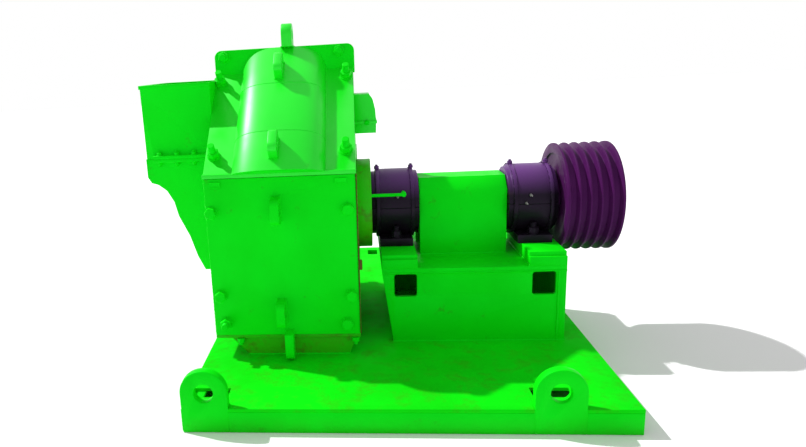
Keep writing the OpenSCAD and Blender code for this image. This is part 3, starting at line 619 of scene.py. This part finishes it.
# Weld beads of the base: pad eyes, hopper foot and the seam beside the left eye
LINES, SEAMS = [], [[(-528, -EDGE_SEAM_Y, 6), (-528, -EDGE_SEAM_Y, 76)]]
for x in EYE_XS:
    for side_x in (x - EYE_HALF, x + EYE_HALF):
        for y in (-EDGE_SEAM_Y, EDGE_SEAM_Y):
            SEAMS.append([(side_x, y, 6), (side_x, y, 80)])
    for y in (-EYE_BACK_Y, EYE_BACK_Y):
        LINES.append([(x - EYE_HALF + 1, y, DECK_Z), (x + EYE_HALF - 1, y, DECK_Z)])
skirt_x0, skirt_x1, skirt_y0, skirt_y1 = -533, -167, HOUSE_Y0, rear(HOUSE_Y0)
LINES.append([(skirt_x0, skirt_y0, DECK_Z), (skirt_x1, skirt_y0, DECK_Z),
              (skirt_x1, skirt_y1, DECK_Z), (skirt_x0, skirt_y1, DECK_Z),
              (skirt_x0, skirt_y0, DECK_Z)])
welds = [beads("deck_beads", LINES, 4.0), beads("edge_beads", SEAMS, 1.2)]
finish_piece(join(welds, "base_welds"), GREEN)

# Weld beads of the housing: corners and the lifting lug's foot
LINES = []
for y in (HOUSE_Y0, rear(HOUSE_Y0)):
    for x in (HOUSE_X0, HOUSE_X1):
        LINES.append([(x, y, HOUSE_FOOT_Z), (x, y, HOUSE_SEAM_Z)])
for x in (-379, -364):
    for side_x in (x - 14, x + 14):
        LINES.append([(side_x, SHAFT_Y - 38, SPLIT_TOP_Z), (side_x, SHAFT_Y + 38, SPLIT_TOP_Z)])
finish_piece(beads("housing_welds", LINES, 3.5), GREEN)


# The raised vault: its size, how full its shoulders are, and how its lower end is cut
VAULT_HALF, VAULT_TOP, FULLNESS = 161.6, 82.8, 0.6
VAULT_MID, VAULT_LEN, ROUND_SHARE = 0.25, 0.702, 0.998
VAULT_BACK_Y = -124.3
NOSE_TILT = math.radians(20)


def make_vault():
    """The vault's pressed skin: a block whose upper edges are rounded, then flattened and cut."""
    bpy.ops.mesh.primitive_cube_add(size=1, location=(HOUSE_XC * MM, VAULT_MID,
                                              0.5 * VAULT_HALF * MM))
    skin = bpy.context.object
    skin.name = "vault"
    skin.scale = (2 * VAULT_HALF * MM, VAULT_LEN, VAULT_HALF * MM)
    settle(skin)
    edit(skin, lambda e: abs((e.verts[0].co - e.verts[1].co).y) > 0.5
         and min(v.co.z for v in e.verts) > 0.01, "EDGE")
    bpy.ops.mesh.bevel(offset=ROUND_SHARE * VAULT_HALF * MM, segments=20, profile=FULLNESS,
                       affect="EDGES")
    done()
    skin.scale.z = VAULT_TOP / VAULT_HALF
    settle(skin)
    skin.matrix_world = Matrix.Translation(mm(0, HOUSE_Y0, KNEE_Z)) @ Matrix.Rotation(SLOPE, 4, "X")
    bpy.context.view_layer.update()
    settle(skin)
    edit(skin)
    bpy.ops.mesh.select_all(action="SELECT")
    bpy.ops.mesh.bisect(plane_co=mm(0, VAULT_BACK_Y, 0), plane_no=BACK,
                        clear_outer=True, use_fill=True)
    bpy.ops.mesh.select_all(action="SELECT")
    bpy.ops.mesh.bisect(plane_co=mm(0, HOUSE_Y0, KNEE_Z), clear_outer=True, use_fill=True,
                        plane_no=(0, -math.sin(NOSE_TILT), -math.cos(NOSE_TILT)))
    bpy.ops.mesh.select_all(action="SELECT")
    bpy.ops.mesh.normals_make_consistent(inside=False)
    done()
    soften(skin, 5, 3, 50)
    smooth(skin, math.radians(40))
    return skin


front_skin = make_vault()
only(front_skin)
bpy.ops.object.duplicate(linked=False)
rear_skin = bpy.context.view_layer.objects.active
rear_skin.matrix_world = Matrix.Translation(mm(0, 2 * SHAFT_Y, 0)) @ Matrix.Scale(-1, 4, (0, 1, 0))
bpy.context.view_layer.update()
settle(rear_skin)
outwards(rear_skin)
finish_piece(join([front_skin, rear_skin], "vault_skins"), GLOSSY)


def over_vault(along):
    """The line across the raised vault at a distance up the slope."""
    power = -math.log(2) / math.log(math.sqrt(FULLNESS))
    line = []
    for i in range(25):
        turn = math.pi * (0.03 + 0.94 * i / 24)
        wide = math.copysign(abs(math.cos(turn)) ** (2 / power), math.cos(turn))
        tall = math.sin(turn) ** (2 / power)
        line.append(on_slope(HOUSE_XC + VAULT_HALF * wide, along, VAULT_TOP * tall))
    return line


seams = [over_vault(132), over_vault(368)]
for x in (HOUSE_XC - 161, HOUSE_XC + 161):
    seams.append([on_slope(x, 4), on_slope(x, 472)])
seams += [[(x, rear(y), z) for x, y, z in line] for line in seams]
finish_piece(beads("vault_welds", seams, 1.4), GLOSSY)

# Feet of the cover and door lugs
LUG_LEN, LUG_H = 90, 88
lines = []
for start in (2, 386):
    for x in (-410.5, -380.5):
        line = [on_slope(x, start, VAULT_TOP), on_slope(x, start + LUG_LEN, VAULT_TOP)]
        lines.append(line)
        lines.append([(a, rear(b), c) for a, b, c in line])
for x in (-414.5, -384.5):
    for low_z in (590, 220):
        for y in (DOOR_Y - 1, rear(DOOR_Y - 1)):
            lines.append([(x, y, low_z), (x, y, low_z + LUG_H)])
finish_piece(beads("lug_welds", lines, 3.0), GREEN)

# Rusty seam down the right edge of the doors
SEAM_Y = -509
lines = [[(HOUSE_X1 + 1, y, HOUSE_FOOT_Z), (HOUSE_X1 + 1, y, HOUSE_SEAM_Z)]
         for y in (SEAM_Y, rear(SEAM_Y))]
finish_piece(beads("rusty_seams", lines, 2.2), RUST)

# Bolts hanging under the bottom flange
FLANGE_BOLT_Y, FLANGE_UNDER_Z = -503, 151
places = []
for x in (-560, -143):
    for y in (FLANGE_BOLT_Y, rear(FLANGE_BOLT_Y)):
        places.append(((x, y, FLANGE_UNDER_Z), DOWN))
finish_piece(strew(flange_bolt, "bottom_bolts", places), GREEN)

# Pointed brackets beside the right edges of the doors
wedges = []
for y in (-500, rear(-500)):
    wedge = plate("wedge", (HOUSE_X1 - 1, y - 4, 400), (HOUSE_X1 + 13, y + 4, 436), 0.8)
    edit(wedge, lambda f: f.normal.x > 0.9)
    bpy.ops.transform.resize(value=(1, 1, 0.2))
    done()
    wedges.append(wedge)
finish_piece(join(wedges, "side_brackets"), RUST)

# Small clamp plates at the doors' upper corners
clamps = []
for x in (-608, -176):
    for y, away in ((DOOR_Y, -1), (rear(DOOR_Y), 1)):
        low_y, high_y = sorted((y - away, y + 5 * away))
        clamp = plate("clamp", (x - 20, low_y, 712), (x + 20, high_y, 732), 1.0)
        edit(clamp, lambda f: abs(f.normal.y) > 0.9 and f.calc_area() > 0.0004)
        bpy.ops.mesh.inset(thickness=5 * MM)
        bpy.ops.transform.translate(value=(0, -2 * away * MM, 0))
        done()
        clamps.append(clamp)
finish_piece(join(clamps, "door_clamps"), GREEN)

# Grease fittings on the outboard bearing and at the grease pipe's end
bpy.ops.mesh.primitive_cylinder_add(vertices=16, radius=5 * MM, depth=8 * MM,
                                    location=(0, 0, 4 * MM))
nipple = settle(bpy.context.object)
edit(nipple, up)
for wide, tall in ((0.6, 0), (1, 8), (1.3, 3), (0.6, 5)):
    bpy.ops.mesh.extrude_region_move(TRANSFORM_OT_translate={"value": (0, 0, tall * MM)})
    bpy.ops.transform.resize(value=(wide, wide, 1))
done()
soften(nipple, 0.5, 1)
places = [((BRG_OUT_X - 14, -238, 591), FRONT), ((BRG_OUT_X - 30, -241, 562), FRONT),
          ((BRG_IN_X + 8, -233, 601), FRONT)]
finish_piece(strew(nipple, "grease_nipples", places), ZINC)

# Plate and bolt that hold the pulley on the shaft's end
bpy.ops.mesh.primitive_cylinder_add(vertices=48, radius=36 * MM, depth=5 * MM,
                                    location=(0, 0, 2.5 * MM))
end_plate = settle(bpy.context.object)
edit(end_plate, up)
bpy.ops.mesh.inset(thickness=6 * MM)
bpy.ops.transform.translate(value=(0, 0, -1.5 * MM))
done()
soften(end_plate, 0.8)
cap = copy_to(end_plate, (PULLEY_X0 + 177, SHAFT_Y, SHAFT_Z), RIGHT)
screw = copy_to(cover_screw, (PULLEY_X0 + 180.5, SHAFT_Y, SHAFT_Z), RIGHT, 0, 2.0)
finish_piece(join([cap, screw], "shaft_end_plate"), BARE, "rotor")
for source in (door_bolt, door_stud, slope_stud, small_bolt, foot_nut, flange_bolt,
               cover_screw, nipple, end_plate):
    remove(source)

# Floor, world and lamp
SKY_STRENGTH, SUN_STRENGTH, SUN_WIDTH = 0.64, 3.6, math.radians(1.2)
bpy.ops.mesh.primitive_plane_add(size=40, location=(0, 0, -0.0005))
floor = bpy.context.object
floor.name = "floor"
paper = bpy.data.materials.new("floor_paper")
paper.use_nodes = True
paper_shader = paper.node_tree.nodes["Principled BSDF"]
paper_shader.inputs["Base Color"].default_value = (0.9, 0.9, 0.9, 1)
paper_shader.inputs["Roughness"].default_value = 0.9
dress(floor, paper)

world = bpy.data.worlds.new("world")
bpy.context.scene.world = world
world.use_nodes = True
wt = world.node_tree
back = wt.nodes["Background"]
back.inputs["Color"].default_value = (1, 1, 1, 1)
back.inputs["Strength"].default_value = SKY_STRENGTH
white = new_node(wt, "ShaderNodeBackground")
white.inputs["Color"].default_value = (1, 1, 1, 1)
white.inputs["Strength"].default_value = 1.0
path = new_node(wt, "ShaderNodeLightPath")
seen = new_node(wt, "ShaderNodeMath", operation="MAXIMUM")
wt.links.new(path.outputs["Is Camera Ray"], seen.inputs[0])
wt.links.new(path.outputs["Is Glossy Ray"], seen.inputs[1])
also = new_node(wt, "ShaderNodeMath", operation="MAXIMUM")
wt.links.new(seen.outputs[0], also.inputs[0])
wt.links.new(path.outputs["Is Transmission Ray"], also.inputs[1])
choice = new_node(wt, "ShaderNodeMixShader")
wt.links.new(also.outputs[0], choice.inputs["Fac"])
wt.links.new(back.outputs[0], choice.inputs[1])
wt.links.new(white.outputs[0], choice.inputs[2])
wt.links.new(choice.outputs[0], wt.nodes["World Output"].inputs["Surface"])

# The sun stands to the upper left and a little behind, near where the lugs' shadows put it
SUN_WAY = Vector((-0.82, 0.30, 1.0))
sun = bpy.data.objects.new("sun", bpy.data.lights.new("sun", "SUN"))
sun.data.energy = SUN_STRENGTH
sun.data.angle = SUN_WIDTH
sun.rotation_euler = SUN_WAY.to_track_quat("Z", "Y").to_euler()
bpy.context.collection.objects.link(sun)

# The camera fitted to the photograph
YAW, PITCH, ROLL = (math.radians(a) for a in (-6.77, 13.61, -3.34))
CAMERA_PLACE = (-0.1113, -2.6965, 1.1095)
LENS, SENSOR, SHIFT = 29.27, 36, 0.1455
level = math.cos(PITCH)
ahead = Vector((math.sin(YAW) * level, math.cos(YAW) * level, -math.sin(PITCH)))
side = Vector((math.cos(YAW), -math.sin(YAW), 0))
above = side.cross(ahead)
cam_x = math.cos(ROLL) * side + math.sin(ROLL) * above
cam_y = -math.sin(ROLL) * side + math.cos(ROLL) * above
camera = bpy.data.objects.new("camera", bpy.data.cameras.new("camera"))
bpy.context.collection.objects.link(camera)
camera.data.sensor_fit = "HORIZONTAL"
camera.data.sensor_width = SENSOR
camera.data.lens = LENS
camera.data.shift_x = SHIFT
turned = Matrix((cam_x, cam_y, -ahead)).transposed().to_4x4()
camera.matrix_world = Matrix.Translation(CAMERA_PLACE) @ turned
bpy.context.scene.camera = camera
bpy.context.scene.view_settings.view_transform = "Standard"
